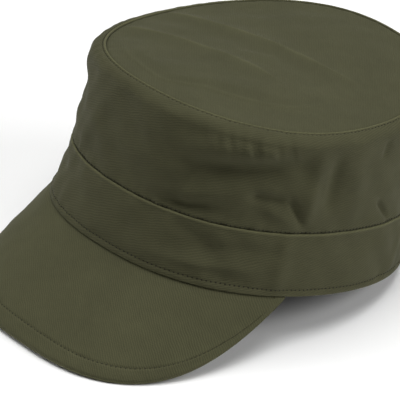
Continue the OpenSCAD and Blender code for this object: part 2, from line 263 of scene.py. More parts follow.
def crown_line(x, y):
    """Rise of the top panel and its painted highlight: two pressed creases side to side, and a soft ridge
    inside the front seam. The crease ridges are painted lighter, partly wear and partly painted highlight."""
    r = (np.abs(x / CROWN_B) ** CROWN_N + np.abs((y + CROWN_FWD) / CROWN_A) ** CROWN_N) ** (1 / CROWN_N)
    out = np.zeros(np.shape(x))
    highlight = np.zeros(np.shape(x))
    for base, lo, hi, h in ((-27.5, -72, 31, 1.0), (9.5, -80, 46, 0.85)):
        d = (y - base - 0.21 * x + 1.2 * np.sin(x / 17)) * 0.98
        reach = ease((x - lo) / 12) * ease((hi - x) / 22)
        thin = np.exp(-np.abs(d) / 1.2)
        out += h * reach * (0.9 * thin + 0.9 * np.exp(-(d / 6.0) ** 2) - 0.6 * np.exp(-((d + 12) / 7) ** 2))
        # lighter along each crease ridge: partly wear, partly painted highlight where the ridge catches the
        # light
        highlight += 0.62 * reach * thin * (0.7 + 0.3 * np.sin(x / 5.3))
    t = np.degrees(np.arctan2(x, -(y + CROWN_FWD)))
    edge = mix(0.885, 0.705, ease((t + 2) / 16)) + 0.012 * np.sin(t / 7)
    here = np.exp(-((t - 8) / 62) ** 4)
    thin = np.exp(-np.abs(r - edge) / 0.014)
    out += here * (0.7 * thin + 2.2 * ease((edge + 0.03 - r) / 0.14))
    # painted highlight along the edge of the soft front ridge
    highlight += 0.16 * here * thin
    out += (1 - here) * 1.0 * ease((0.9 - r) / 0.25)
    p = stack(x, y, 0 * x)
    out += (0.6 * waves(p, 60, 21) + 0.16 * waves(p, 19, 22)) * ease((1 - r) / 0.2)
    return out * ease((1 - r) / 0.09), highlight * ease((1 - r) / 0.09)


# ---------------------------------------------------------------- meshes
def mesh_object(name, points, faces, coord, highlight=None):
    """coord is each point's place on the flat cloth, and the last argument is how much painted highlight
    lightens the cloth there.
    """
    mesh = bpy.data.meshes.new(name)
    mesh.from_pydata(stand(points).tolist(), [], faces)
    mesh.update()
    at = mesh.attributes.new("cloth", "FLOAT_VECTOR", "POINT")
    at.data.foreach_set("vector", np.ascontiguousarray(coord, np.float32).ravel())
    # painted highlight, one value a point, read by the cloth materials
    painted_highlight = mesh.attributes.new("painted_highlight", "FLOAT", "POINT")
    highlight = np.zeros(len(points)) if highlight is None else highlight
    painted_highlight.data.foreach_set("value", np.asarray(highlight, np.float32))
    obj = bpy.data.objects.new(name, mesh)
    bpy.context.scene.collection.objects.link(obj)
    mesh.polygons.foreach_set("use_smooth", [True] * len(mesh.polygons))
    return obj


def tube_faces(cols, m, closed):
    """Faces of a closed section of m points carried through cols stations."""
    i = np.arange(cols if closed else cols - 1)[:, None]
    j = np.arange(m)[None, :]
    a = i * m + j
    b = i * m + (j + 1) % m
    c = ((i + 1) % cols) * m + (j + 1) % m
    d = ((i + 1) % cols) * m + j
    return np.stack([a + 0 * b, b + 0 * a, c, d], -1).reshape(-1, 4).tolist()


def section_piece(name, grid, coord, closed, highlight=None, ends=5):
    """grid[station][point of the closed section]. An open piece is closed by a strip of faces across
    each end; ends is how many points of the section turn its two narrow sides."""
    cols, m = grid.shape[:2]
    faces = tube_faces(cols, m, closed)
    pts = grid.reshape(-1, 3)
    co = coord.reshape(-1, 3)
    highlight = None if highlight is None else highlight.reshape(-1)
    if not closed:
        n = (m - 2 * ends) // 2
        first = -(ends + 1) // 2 if ends else 0
        stop = n + (ends - 1) // 2 if ends else n - 1
        for base in (0, (cols - 1) * m):
            for i in range(first, stop):
                loop = [i % m, (i + 1) % m, (m - ends - 2 - i) % m, (m - ends - 1 - i) % m]
                faces.append([base + v for v in dict.fromkeys(loop)])
    obj = mesh_object(name, pts, faces, co, highlight)
    tidy(obj)
    return obj


def finish(obj, mat, body, slot_name, *nodes):
    obj.data.materials.append(mat)
    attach(obj, body)
    if nodes:
        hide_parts(*nodes)


def tidy(obj):
    """Faces all turned outward."""
    bm = bmesh.new()
    bm.from_mesh(obj.data)
    bmesh.ops.recalc_face_normals(bm, faces=bm.faces)
    bm.to_mesh(obj.data)
    bm.free()
    obj.data.update()


def lap(n, s0, s1, d0, d1, ends=5):
    """A flat closed section: out along d0 from s0 to s1, round the end, back along d1.
    Returns the places s and the depths d."""
    r = (d1 - d0) / 2
    turn = np.linspace(0, np.pi, ends + 2)[1:-1]
    u = np.linspace(0, 1, n)
    s = np.concatenate([mix(s0 + r, s1 - r, u), s1 - r + r * np.sin(turn),
                        mix(s1 - r, s0 + r, u), s0 + r - r * np.sin(turn)])
    d = np.concatenate([np.full(n, d0), d0 + r - r * np.cos(turn),
                        np.full(n, d1), d1 - r + r * np.cos(turn)])
    return s, d


def arc_table(points):
    """Length along a run of points."""
    step = np.linalg.norm(np.diff(points, axis=0), axis=1)
    return np.concatenate([[0], np.cumsum(step)])


ANGLES = np.linspace(-180, 180, 721)
GIRTH = arc_table(band_pt(ANGLES, BAND_H, 0))
GIRTH -= np.interp(0, ANGLES, GIRTH)


def girth(t):
    return np.interp(t, ANGLES, GIRTH)


# ---------------------------------------------------------------- materials
def noise(nt, vec, scale, detail, rough=0.5):
    n = nt.nodes.new("ShaderNodeTexNoise")
    n.inputs["Scale"].default_value = scale
    n.inputs["Detail"].default_value = detail
    n.inputs["Roughness"].default_value = rough
    nt.links.new(vec, n.inputs["Vector"])
    return n.outputs["Fac"]


def calc(nt, op, a, b=None, c=None, clamp=False):
    n = nt.nodes.new("ShaderNodeMath")
    n.operation = op
    n.use_clamp = clamp
    for i, v in enumerate((a, b, c)):
        if v is None:
            continue
        if isinstance(v, (int, float)):
            n.inputs[i].default_value = v
        else:
            nt.links.new(v, n.inputs[i])
    return n.outputs[0]


def blank(name):
    mat = bpy.data.materials.new(name)
    mat.use_nodes = True
    nt = mat.node_tree
    nt.nodes.clear()
    out = nt.nodes.new("ShaderNodeOutputMaterial")
    bsdf = nt.nodes.new("ShaderNodeBsdfPrincipled")
    nt.links.new(bsdf.outputs[0], out.inputs[0])
    return mat, nt, bsdf


def about(nt, value, weight, middle=0.5):
    """A noise value's swing to either side of its middle, times a weight."""
    return calc(nt, "MULTIPLY", calc(nt, "SUBTRACT", value, middle), weight)


def cloth_place(nt):
    """The place on the flat cloth in millimetres: the vector, and its parts."""
    at = nt.nodes.new("ShaderNodeAttribute")
    at.attribute_name = "cloth"
    sep = nt.nodes.new("ShaderNodeSeparateXYZ")
    nt.links.new(at.outputs["Vector"], sep.inputs[0])
    return at.outputs["Vector"], sep.outputs


def tint(nt, bsdf, colour, tone):
    mul = nt.nodes.new("ShaderNodeVectorMath")
    mul.operation = "SCALE"
    mul.inputs[0].default_value = colour
    nt.links.new(tone, mul.inputs["Scale"])
    nt.links.new(mul.outputs[0], bsdf.inputs["Base Color"])


def relief(nt, bsdf, height, strength, distance):
    bmp = nt.nodes.new("ShaderNodeBump")
    bmp.inputs["Strength"].default_value = strength
    bmp.inputs["Distance"].default_value = distance
    nt.links.new(height, bmp.inputs["Height"])
    nt.links.new(bmp.outputs[0], bsdf.inputs["Normal"])


def twill(name, colour, angle, period=1.25, lines=0.30, fuzz=0.16, mottle=0.14, bump=0.16, sheen=0.06,
          highlight=0.7):
    """Woven cloth: diagonal ribs made of short yarn floats, fuzz, slow colour variation, and a painted
    highlight along edges, seams and creases. The attribute 'cloth' gives the place on the flat cloth in
    millimetres; a second attribute gives how much painted highlight lightens it there."""
    mat, nt, bsdf = blank(name)
    cloth, part = cloth_place(nt)
    slow = noise(nt, cloth, 0.035, 3.0, 0.55)
    wander = noise(nt, cloth, 0.22, 2.0)
    fine = noise(nt, cloth, 1.7, 2.0, 0.7)
    c, s = math.cos(math.radians(angle)), math.sin(math.radians(angle))
    across = calc(nt, "SUBTRACT", calc(nt, "MULTIPLY", part[1], c),
                  calc(nt, "MULTIPLY", part[0], s))
    across = calc(nt, "ADD", across, calc(nt, "MULTIPLY", wander, 1.6))
    along = calc(nt, "ADD", calc(nt, "MULTIPLY", part[0], c), calc(nt, "MULTIPLY", part[1], s))
    rib = calc(nt, "SINE", calc(nt, "MULTIPLY", across, 2 * math.pi / period))
    # each rib is a run of short floats, shifted by half from one rib to the next
    float_phase = calc(nt, "ADD", calc(nt, "MULTIPLY", along, 2 * math.pi / (period * 1.15)),
                       calc(nt, "MULTIPLY", across, math.pi / period))
    floats = calc(nt, "SINE", float_phase)
    weave = calc(nt, "ADD", calc(nt, "MULTIPLY", rib, 0.85), calc(nt, "MULTIPLY", floats, 0.15))
    # brightness of the dyed yarn
    tone = calc(nt, "ADD", 1.0, calc(nt, "MULTIPLY", weave, lines * 0.5))
    tone = calc(nt, "ADD", tone, about(nt, fine, fuzz * 2.4))
    tone = calc(nt, "ADD", tone, about(nt, slow, mottle * 2.4))
    tone = calc(nt, "ADD", tone, about(nt, wander, 0.16))
    # painted highlight: the cloth is lightened along folded edges, seams and creases, where they would catch
    # the light
    painted_highlight = nt.nodes.new("ShaderNodeAttribute")
    painted_highlight.attribute_name = "painted_highlight"
    highlight_amount = calc(nt, "MULTIPLY", painted_highlight.outputs["Fac"], calc(nt, "ADD", 0.7, calc(nt, "MULTIPLY", fine, 0.6)))
    tone = calc(nt, "ADD", tone, calc(nt, "MULTIPLY", highlight_amount, highlight))
    tint(nt, bsdf, colour, tone)
    rough = calc(nt, "ADD", 0.86, about(nt, fine, 0.2))
    nt.links.new(rough, bsdf.inputs["Roughness"])
    bsdf.inputs["Specular IOR Level"].default_value = 0.12
    bsdf.inputs["Sheen Weight"].default_value = sheen
    bsdf.inputs["Sheen Roughness"].default_value = 0.55
    bsdf.inputs["Sheen Tint"].default_value = (0.80, 0.80, 0.62, 1)
    height = calc(nt, "ADD", calc(nt, "MULTIPLY", weave, 0.5), calc(nt, "MULTIPLY", fine, 0.7))
    relief(nt, bsdf, height, 0.55, bump / 1000)
    return mat


def plain_weave(name, colour, pitch=0.9, bump=0.12, mottle=0.06, rough_at=0.88, sheen=0.1):
    """Tape, lining and label cloth: over-and-under weave."""
    mat, nt, bsdf = blank(name)
    cloth, part = cloth_place(nt)
    fine = noise(nt, cloth, 1.4, 2.0, 0.7)
    slow = noise(nt, cloth, 0.05, 2.0)
    k = 2 * math.pi / pitch
    a = calc(nt, "SINE", calc(nt, "MULTIPLY", part[0], k))
    b = calc(nt, "SINE", calc(nt, "MULTIPLY", part[1], k))
    weave = calc(nt, "MULTIPLY", a, b)
    tone = calc(nt, "ADD", 1.0, calc(nt, "MULTIPLY", weave, 0.07))
    tone = calc(nt, "ADD", tone, about(nt, fine, 0.22))
    tone = calc(nt, "ADD", tone, about(nt, slow, mottle * 2.4))
    tint(nt, bsdf, colour, tone)
    rough = calc(nt, "ADD", rough_at, about(nt, fine, 0.15))
    nt.links.new(rough, bsdf.inputs["Roughness"])
    bsdf.inputs["Specular IOR Level"].default_value = 0.25
    bsdf.inputs["Sheen Weight"].default_value = sheen
    relief(nt, bsdf, calc(nt, "ADD", weave, calc(nt, "MULTIPLY", fine, 0.6)), 0.6, bump / 1000)
    return mat


def thread(name, colour):
    """Twisted sewing thread; 'cloth' x runs along it, in millimetres."""
    mat, nt, bsdf = blank(name)
    cloth, part = cloth_place(nt)
    turn = calc(nt, "ADD", calc(nt, "MULTIPLY", part[0], 9.0), part[1])
    ply = calc(nt, "SINE", turn)
    fine = noise(nt, cloth, 0.6, 1.0)
    tone = calc(nt, "ADD", 1.0, calc(nt, "MULTIPLY", ply, 0.12))
    tone = calc(nt, "ADD", tone, about(nt, fine, 0.5))
    tint(nt, bsdf, colour, tone)
    nt.links.new(calc(nt, "ADD", 0.6, calc(nt, "MULTIPLY", fine, 0.15)), bsdf.inputs["Roughness"])
    bsdf.inputs["Specular IOR Level"].default_value = 0.1
    relief(nt, bsdf, ply, 0.5, 0.00005)
    return mat


def pile(name, colour):
    """Looped or hooked nylon: a fuzzy surface of small tufts."""
    mat, nt, bsdf = blank(name)
    cloth, _ = cloth_place(nt)
    tuft = nt.nodes.new("ShaderNodeTexVoronoi")
    tuft.inputs["Scale"].default_value = 1.3
    nt.links.new(cloth, tuft.inputs["Vector"])
    fine = noise(nt, cloth, 3.0, 2.0, 0.7)
    tone = calc(nt, "SUBTRACT", 1.25, calc(nt, "MULTIPLY", tuft.outputs["Distance"], 0.7))
    tone = calc(nt, "ADD", tone, about(nt, fine, 0.5))
    tint(nt, bsdf, colour, tone)
    nt.links.new(calc(nt, "ADD", 0.6, calc(nt, "MULTIPLY", fine, 0.3)), bsdf.inputs["Roughness"])
    bsdf.inputs["Sheen Weight"].default_value = 0.2
    relief(nt, bsdf, calc(nt, "SUBTRACT", fine, tuft.outputs["Distance"]), 0.7, 0.0002)
    return mat


OLIVE = (0.062, 0.0615, 0.0312)
# The top and wall twill are the same cloth as the visor's olive, painted about 15% darker: painted shade,
# shaded copies of one material.
TWILL_WALL = twill("twill_wall", (0.0530, 0.0520, 0.0262), 19)
TWILL_TOP = twill("twill_top", (0.0525, 0.0520, 0.0268), 135, lines=0.13, fuzz=0.20)
TWILL_VISOR = twill("twill_visor", OLIVE, 40, period=1.08)
TWILL_UNDER = twill("twill_under", (0.066, 0.066, 0.036), -58)
TWILL_TAB = twill("twill_tab", (0.061, 0.060, 0.0305), 22)
TAPE = plain_weave("cotton_tape", (0.062, 0.062, 0.035))
LINING = plain_weave("sweatband_cotton", (0.056, 0.056, 0.032), pitch=0.8, sheen=0.15)
STIFF = plain_weave("interlining_weave", (0.55, 0.52, 0.43), pitch=1.3, bump=0.25)
LABEL = plain_weave("label_satin", (0.78, 0.77, 0.73), pitch=0.5, bump=0.05, rough_at=0.55)
THREAD = thread("sewing_thread", (0.014, 0.013, 0.009))
# the same thread as the hem and crown rows, painted lighter: painted light that lifts this row in the shade
# at the band's top edge
BAND_THREAD = thread("band_thread", (0.024, 0.023, 0.014))
VISOR_THREAD = thread("visor_thread", (0.032, 0.031, 0.018))
BOARD = plain_weave("visor_board_card", (0.60, 0.59, 0.55), pitch=2.2, bump=0.08, mottle=0.12)

# ---------------------------------------------------------------- crown wall
# one strip of cloth: up from behind the band, over the roll, down into the crown seam
def wall_height(t, g):
    low = np.maximum(BAND_H - TUCK, arch_z(angle_q(t), 1.0) * (np.cos(rad(t)) < 0))
    return mix(low, roll_pt(t, 0, 0)[..., 2], g)


def welt(dist):
    """The rolled edge of the wall at the crown seam, and the dip of the stitches beside it."""
    return 0.42 * np.exp(-((dist - 0.75) / 0.6) ** 2) - 0.32 * np.exp(-((dist - 1.75) / 0.42) ** 2)


QUARTER = np.linspace(0, 90, 181)
ROLL_RUN = arc_table(np.stack([ROLL_OUT * np.cos(rad(QUARTER)), ROLL_DROP * np.sin(rad(QUARTER))], -1))


def roll_place(t, dist):
    """Angle on the roll, and the rise there, at a distance from the crown seam."""
    phi = np.interp(ROLL_RUN[-1] - dist * ROLL_RUN[-1] / ROLL_SPAN, ROLL_RUN, QUARTER)
    up = rise(t, roll_pt(t, 0, 0)[..., 2]) * (1 - ease(phi / 55)) + welt(dist)
    front = np.exp(-((signed(t) - PUCKER_AT) / PUCKER_HALF) ** 4)
    pull = (0.12 + 0.42 * front) * np.tanh(waves(drum(t, 0 * t), 7.0, 33, 6))
    return phi, up + pull * np.exp(-((dist - 5.5) / 3.6) ** 2)


def back_seam(t):
    """The sewn seam down the middle of the back."""
    away = np.abs(np.abs(signed(t)) - 180) * 1.62
    return -0.45 * np.exp(-(away / 0.55) ** 2) + 0.18 * np.exp(-((away - 1.6) / 0.9) ** 2)


def wall_up(t, z):
    lap_over = ease((z - BAND_H + 0.3) / 1.3) * np.exp(-(np.maximum(z - BAND_H - 1, 0) / 3.5) ** 2)
    up = rise(t, z) + 0.85 * lap_over - 0.15 * np.exp(-((z - BAND_H - 1.0) / 0.5) ** 2)
    return up + seam_pull(t + 0 * z, z - BAND_H - 1, 4.5, 0.16, 31) + back_seam(t)


def crown_wall():
    fine = np.concatenate([np.linspace(180, 176, 21)[:-1], np.linspace(176, -176, 540),
                           np.linspace(-176, -180, 21)[1:-1]])
    t = fine[:, None]
    g = np.linspace(0, 1, 50)[None, :-1]
    z = wall_height(t, g)
    up = wall_up(t, z)
    outer_wall = wall_pt(t, z, -up)
    inner_wall = wall_pt(t, z, CLOTH - up)
    dist = np.concatenate([np.linspace(ROLL_SPAN, 3.4, 12), np.linspace(3.1, 0.0, 14)])[None, :]
    phi, up2 = roll_place(t, dist)
    up2 = up2 + back_seam(t) * (1 - ease(phi / 80))
    outer_roll = roll_pt(t, phi, -up2)
    inner_roll = roll_pt(t, phi, CLOTH - np.clip(up2, -0.2, 0.6))
    # the seam: the edge turns down inside
    lip_out = roll_pt(t, 90, 1.6)
    lip_in = roll_pt(t, 90, 2.0)
    lip_in[..., :2] += (roll_pt(t, 60, 0) - roll_pt(t, 90, 0))[..., :2] * 0.2
    grid = np.concatenate([outer_wall, outer_roll, lip_out, lip_in,
                           inner_roll[:, ::-1], inner_wall[:, ::-1]], 1)
    u = girth(signed(t))
    u = np.where(t == 180, girth(180.0), u)
    v_roll = roll_pt(t, 0, 0)[..., 2] + (ROLL_SPAN - dist)
    tail = v_roll[:, -1:] + 1.5
    v = np.concatenate([z, v_roll, tail, tail, v_roll[:, ::-1], z[:, ::-1]], 1)
    coord = stack(u, v, 0 * v)
    # painted highlight along the rolled edge at the crown seam
    roll_highlight = np.exp(-((dist - 0.7) / 0.55) ** 2) + 0 * t
    zero = 0 * z
    painted_highlight = np.concatenate([zero, roll_highlight, 0 * t, 0 * t, 0 * roll_highlight, zero], 1)
    obj = section_piece("crown_wall", grid, coord, True, painted_highlight)
    finish(obj, TWILL_WALL, "cap", "twill", "crown_side")


def crown_panel():
    t = np.linspace(180, -180, 480, endpoint=False)[:, None]
    r = np.concatenate([np.linspace(0.9965, 0.93, 16), np.linspace(0.922, 0.045, 78)])[None, :]
    base = top_pt(t, r, 0)
    up, highlight = crown_line(base[..., 0], base[..., 1])
    from_edge = (1 - r) * 81
    up = up - 0.85 * np.exp(-(from_edge / 0.75)) + seam_pull(t + 0 * r, from_edge, 3.2, 0.10, 41)
    outer = top_pt(t, r, 0)
    outer[..., 2] += up
    inner = top_pt(t, r, CLOTH)
    inner[..., 2] += np.maximum(up, -0.25)
    n, m = t.size, r.size
    mid = np.array([[0, -CROWN_FWD, 0], [0, -CROWN_FWD, 0]], float)
    mid_up = float(crown_line(np.array([0.0]), np.array([-CROWN_FWD]))[0][0])
    mid[0, 2] = CROWN_H + DOME + mid_up
    mid[1, 2] = mid[0, 2] - CLOTH
    pts = np.concatenate([outer.reshape(-1, 3), inner.reshape(-1, 3), mid])
    faces = []
    i = np.arange(n)[:, None]
    j = np.arange(m - 1)[None, :]
    a, b = i * m + j, ((i + 1) % n) * m + j
    quads = np.stack([a, b, b + 1, a + 1], -1).reshape(-1, 4)
    k = n * m
    faces += quads.tolist()
    faces += (quads[:, ::-1] + k).tolist()
    for q in range(n):
        p = (q + 1) % n
        faces.append([q * m, k + q * m, k + p * m, p * m])
        faces.append([q * m + m - 1, p * m + m - 1, 2 * k])
        faces.append([k + p * m + m - 1, k + q * m + m - 1, 2 * k + 1])
    coord = pts.copy()
    coord[:, 2] = 0
    # the painted highlight of the creases, on the outer face only
    highlight_amount = np.concatenate([highlight.reshape(-1), 0 * highlight.reshape(-1), [0, 0]])
    obj = mesh_object("crown_panel", pts, faces, coord, highlight_amount)
    tidy(obj)
    finish(obj, TWILL_TOP, "cap", "twill", "crown_top")


crown_wall()
crown_panel()


# ---------------------------------------------------------------- strips that run round the band
def band_strip(name, z0, z1, d0, d1, mat, node, slot_name, shape, rows, cols, highlight_at):
    """A strip round the cap from one side of the rear arch to the other."""
    s, d = lap(rows, z0, z1, d0, d1)
    u = np.linspace(1, -1, cols)[:, None]
    s2, d2 = s[None, :], d[None, :]
    t = q_angle(arch_q(s2, 1.0)) * u
    up = rise(t, s2)
    if shape is not None:
        up = up + shape(t, s2, d2)
    grid = band_pt(t, s2, d2 - up)
    coord = stack(girth(t), s2 + 0 * t, d2 + 0 * t)
    painted_highlight = None if highlight_at is None else highlight_at(s2 + 0 * t, d2 + 0 * t)
    obj = section_piece(name, grid, coord, False, painted_highlight)
    finish(obj, mat, "cap", slot_name, node)


def band_shape(t, z, d):
    groove = -0.30 * np.exp(-((z - HEM_ROW) / 0.55) ** 2)
    hem = 0.28 * np.exp(-((z - 1.5) / 1.1) ** 2)
    top_edge = 0.26 * np.exp(-((z - BAND_H + 0.6) / 0.9) ** 2)
    outer = np.clip(1 - d / CLOTH, 0, 1)
    pulls = seam_pull(t + 0 * z, z - 3.3, 3.4, 0.13, 51) + seam_pull(t + 0 * z, z - BAND_H, 4.0, 0.10, 52)
    return outer * (groove + hem + top_edge) + pulls * ease(z / 2)


# painted highlight on the band's folded top edge and along the hem, where they catch the light
def band_highlight(z, d):
    return (np.exp(-((z - BAND_H) / 0.8) ** 2) + 0.55 * np.exp(-(z / 0.9) ** 2)) * (d < 0.5)


def sweat_shape(t, z, d):
    inner = np.clip((d - SWEAT_D) / 1.0, 0, 1)
    quilt = 0.25 * np.sin(np.pi * np.clip((z - 3) / (BAND_H - 4), 0, 1)) ** 0.6
    line = -0.2 * np.exp(-((z - 3.2) / 0.5) ** 2) - 0.2 * np.exp(-((z - BAND_H + 1.5) / 0.5) ** 2)
    return -inner * (quilt + line) + inner * seam_pull(t + 0 * z, z - 3, 5.0, 0.12, 61)


band_strip("band_cloth", 0.0, BAND_H + 0.2, 0.0, CLOTH, TWILL_WALL, "band_outer", "twill", band_shape,
           64, 640, band_highlight)
band_strip("band_stiffener", 1.0, BAND_H - TUCK - 1, INTER_D, INTER_D + 0.6, STIFF, "band_interlining",
           "interlining", None, 10, 240, None)
band_strip("sweatband_cloth", 0.5, BAND_H + 1, SWEAT_D, SWEAT_D + 1.0, LINING, "sweatband",
           "sweatband_cloth", sweat_shape, 34, 420, None)


# ---------------------------------------------------------------- layers inside the crown
def crown_stiffener():
    g, _ = lap(80, 0.0, 1.0, 0.0, 0.01)
    edge = np.linspace(0, 1, 5)
    side = np.concatenate([np.zeros(80), edge, np.ones(80), edge[::-1]])[None, :]
    depth = mix(CLOTH + 0.35, CLOTH + 0.75, side)
    g = np.clip(g, 0, 1)[None, :]
    t = np.linspace(58, -58, 420)[:, None]
    z = mix(BAND_H + 3, seam_z(t) - ROLL_DROP - 1, g)
    grid = wall_pt(t, z, depth - rise(t, z))
    obj = section_piece("crown_stiffener", grid, stack(girth(t), z, 0 * z), False)
    finish(obj, STIFF, "cap", "interlining", "crown_front_interlining")


def seam_tape():
    run, depth = lap(14, -1.5, 8.5, CLOTH + 0.35, CLOTH + 0.85)
    t = np.linspace(180, -180, 360, endpoint=False)[:, None]
    r = 1 - run[None, :] / CROWN_A
    grid = top_pt(t, r, depth[None, :])
    around = girth(signed(t)) + 0 * r
    obj = section_piece("crown_seam_tape_cloth", grid, stack(around, run[None, :] + 0 * t, 0 * r), True)
    finish(obj, TAPE, "cap", "tape", "crown_seam_tape")


def back_tape():
    q, depth = lap(10, -5.0, 5.0, CLOTH + 0.25, CLOTH + 0.75)
    t = q_angle(q)[None, :]
    g = np.linspace(0, 1, 60)[:, None]
    z = mix(ARCH_H + 8.5, seam_z(t) - ROLL_DROP - 2, g)
    grid = wall_pt(t, z, depth[None, :] - rise(t, z))
    obj = section_piece("back_seam_tape_cloth", grid, stack(q[None, :] + 0 * z, z, 0 * z), False)
    finish(obj, TAPE, "cap", "tape", "back_seam_tape")


def label():
    """A blank label, a little lifted off the sweatband and wavy."""
    u, _ = lap(30, 0.0, 1.0, 0.0, 0.3, 3)
    u = np.clip(u, 0, 1)
    depth = np.concatenate([np.zeros(30), np.linspace(0, 0.3, 3), np.full(30, 0.3), np.linspace(0.3, 0, 3)])
    z = np.linspace(6, 24, 30)[:, None]
    t = mix(118, 96, u)[None, :]
    lift = 0.03 + 0.25 * np.sin(np.pi * u)[None, :] + 0.1 * np.sin(z / 3)
    grid = band_pt(t, z, SWEAT_D + 1.0 + 0.42 + depth[None, :] + 0.3 * lift - rise(t, z))
    coord = stack(girth(t) + 0 * z, z + 0 * t, 0 * z * t)
    obj = section_piece("care_label_cloth", grid, coord, False, None, 3)
    finish(obj, LABEL, "cap", "label_cloth", "care_label")


crown_stiffener()
seam_tape()
back_tape()
label()


# ---------------------------------------------------------------- visor
def unit(v):
    return v / np.linalg.norm(v, axis=-1, keepdims=True)


VISOR_END = outline(VISOR_ARC, HEM_A, HEM_B, 0, 0, FRONT_N, REAR_N)


def visor_root(phi):
    p = band_pt(VISOR_ARC * phi / 90, 0, 0)
    p[..., 2] = VISOR_FOOT
    return p


def visor_edge(phi):
    c, s = np.cos(rad(phi)), np.sin(rad(phi))
    c = np.abs(c) ** (2 / VISOR_N)
    return stack(VISOR_END[0] * spow(s, 2 / VISOR_N), mix(VISOR_END[1], -HEM_A - VISOR_REACH, c),
                 -VISOR_DROP * c - VISOR_CURL * 4 * c * (1 - c) + VISOR_FOOT)


def visor_normal(phi):
    s = np.where(phi > 0, -1.0, 1.0)
    near = mix(visor_root(phi), visor_edge(phi), 0.5)
    beside = mix(visor_root(phi + s), visor_edge(phi + s), 0.5)
    n = unit(np.cross((beside - near) * s[..., None], visor_edge(phi) - visor_root(phi)))
    return n * np.where(n[..., 2:] < 0, -1, 1)


def visor_length(phi):
    return np.linalg.norm(visor_edge(phi) - visor_root(phi), axis=-1)


def sink(p):
    """Nothing of the visor stands above its sewn edge."""
    q = p.copy()
    q[..., 2] = np.minimum(q[..., 2], VISOR_FOOT)
    return q


def visor_at(phi, run, h):
    """run mm out from the hem, h mm under the upper skin."""
    phi, run, h = np.broadcast_arrays(phi, run, h)
    way = unit(visor_edge(phi) - visor_root(phi))
    return sink(visor_root(phi) + way * run[..., None] - visor_normal(phi) * h[..., None])


def visor_turn(phi, turn, r):
    """Round the edge: turn 0 on top, 180 underneath."""
    phi, turn, r = np.broadcast_arrays(phi, np.asarray(turn, float), np.asarray(r, float))
    return visor_at(phi, visor_length(phi) - VISOR_T / 2 + r * np.sin(rad(turn)),
                    VISOR_T / 2 - r * np.cos(rad(turn)))


def stitch_in(phi):
    """The stitch row comes a little nearer the edge on the wearer's left."""
    return STITCH_IN - 1.8 * np.exp(-((phi - 35) / 30) ** 2)


def visor_bend(phi, run, side):
    """Rise of the visor cloth: the stitch groove, its puckers and the slight bow of the stiffener."""
    whole = visor_length(phi)
    away = whole - run
    p = visor_at(phi, run, 0)
    row = np.where(whole > STITCHED, 1.0, 0.0)
    off = away - stitch_in(phi)
    groove = -0.42 * np.exp(-(off / 0.65) ** 2) + 0.12 * np.exp(-(off / 3.0) ** 2)
    pull = 0.15 * np.exp(-np.abs(off) / 3.0) * waves(p, 6.5, 71 + side, 6)
    held = ease(away / 3) * ease(run / 5)
    soft = 0.22 * waves(p, 34, 73 + side) + 0.05 * waves(p, 11, 75 + side)
    return row * (groove + pull) * ease((whole - STITCHED) / 4) + soft * held


VISOR_COLS = 89.3 * np.sin(rad(np.linspace(-90, 90, 321)))[:, None]
MIDWAY = np.array([0.0, -VISOR_REACH, -VISOR_DROP]) / math.hypot(VISOR_REACH, VISOR_DROP)


def visor_runs(phi, whole, count):
    """Places out from the hem, closer together near the stitch row and the edge."""
    f = np.linspace(0.02, 1, count)[None, :]
    plain = f * (whole - VISOR_T / 2)
    mark = np.clip(whole - stitch_in(phi), 2, None)
    near = mark + (plain - mark) * (0.45 + 0.55 * np.abs(plain - mark) / (np.abs(plain - mark) + 4))
    return np.where(whole > STITCHED, near, plain)


def visor_cloth(name, side, mat, node):
    """side 0 is the top cover, with its flange behind the hem; side 1 is the under cover."""
    phi = VISOR_COLS
    t = VISOR_ARC * phi / 90
    whole = visor_length(phi)
    run = visor_runs(phi, whole, 70)
    thick = CLOTH - 0.1
    turns = np.linspace(8, 88, 12)[None, :]
    if side:
        turns = 180 - turns * 0.985
    skins = []
    for depth in (0, thick):
        bend = visor_bend(phi, run, side) * (1 if depth == 0 else 0)
        h = VISOR_T - depth + 0 * run if side else depth + 0 * run
        flat_part = visor_at(phi, run, h + bend if side else h - bend)
        piping = 0.22 * np.exp(-((turns - 90) / 16) ** 2) * (1 if depth == 0 else 0)
        rounded = visor_turn(phi, turns, VISOR_T / 2 - depth + piping)
        parts = [flat_part, rounded]
        if not side:
            z = np.array([7.0, 5.0, 3.0, 1.2])[None, :]
            up = band_pt(t, z, WALL_D + depth - rise(t, z))
            foot = band_pt(t, 0.0 * phi, WALL_D + depth)
            foot[..., 2] = VISOR_FOOT - depth * 0.6
            parts = [up, foot] + parts
        else:
            back = band_pt(t, 0.0 * phi, 2.1 + 0.55 * (depth > 0))
            back[..., 2] = -0.5 - 0.35 * (depth == 0)
            tuck = band_pt(t, 0.0 * phi, 2.1 + 0.55 * (depth > 0))
            tuck[..., 2] = 0.6
            parts = [tuck, back] + parts
        skins.append(np.concatenate(parts, 1))
    grid = np.concatenate([skins[0], skins[1][:, ::-1]], 1)
    across = grid @ MIDWAY
    coord = stack(grid[..., 0], across, 0 * across)
    # painted highlight round the visor's edge
    edge_highlight = np.concatenate([0 * skins[0][:, :-12, 0], np.exp(-((turns - 88) / 22) ** 2) + 0 * phi,
                                0 * skins[1][..., 0]], 1)
    obj = section_piece(name, grid, coord, False, edge_highlight, 0)
    finish(obj, mat, "cap", "twill", node)


visor_cloth("visor_top_cloth", 0, TWILL_VISOR, "visor_cover_top")
visor_cloth("visor_under_cloth", 1, TWILL_UNDER, "visor_cover_bottom")


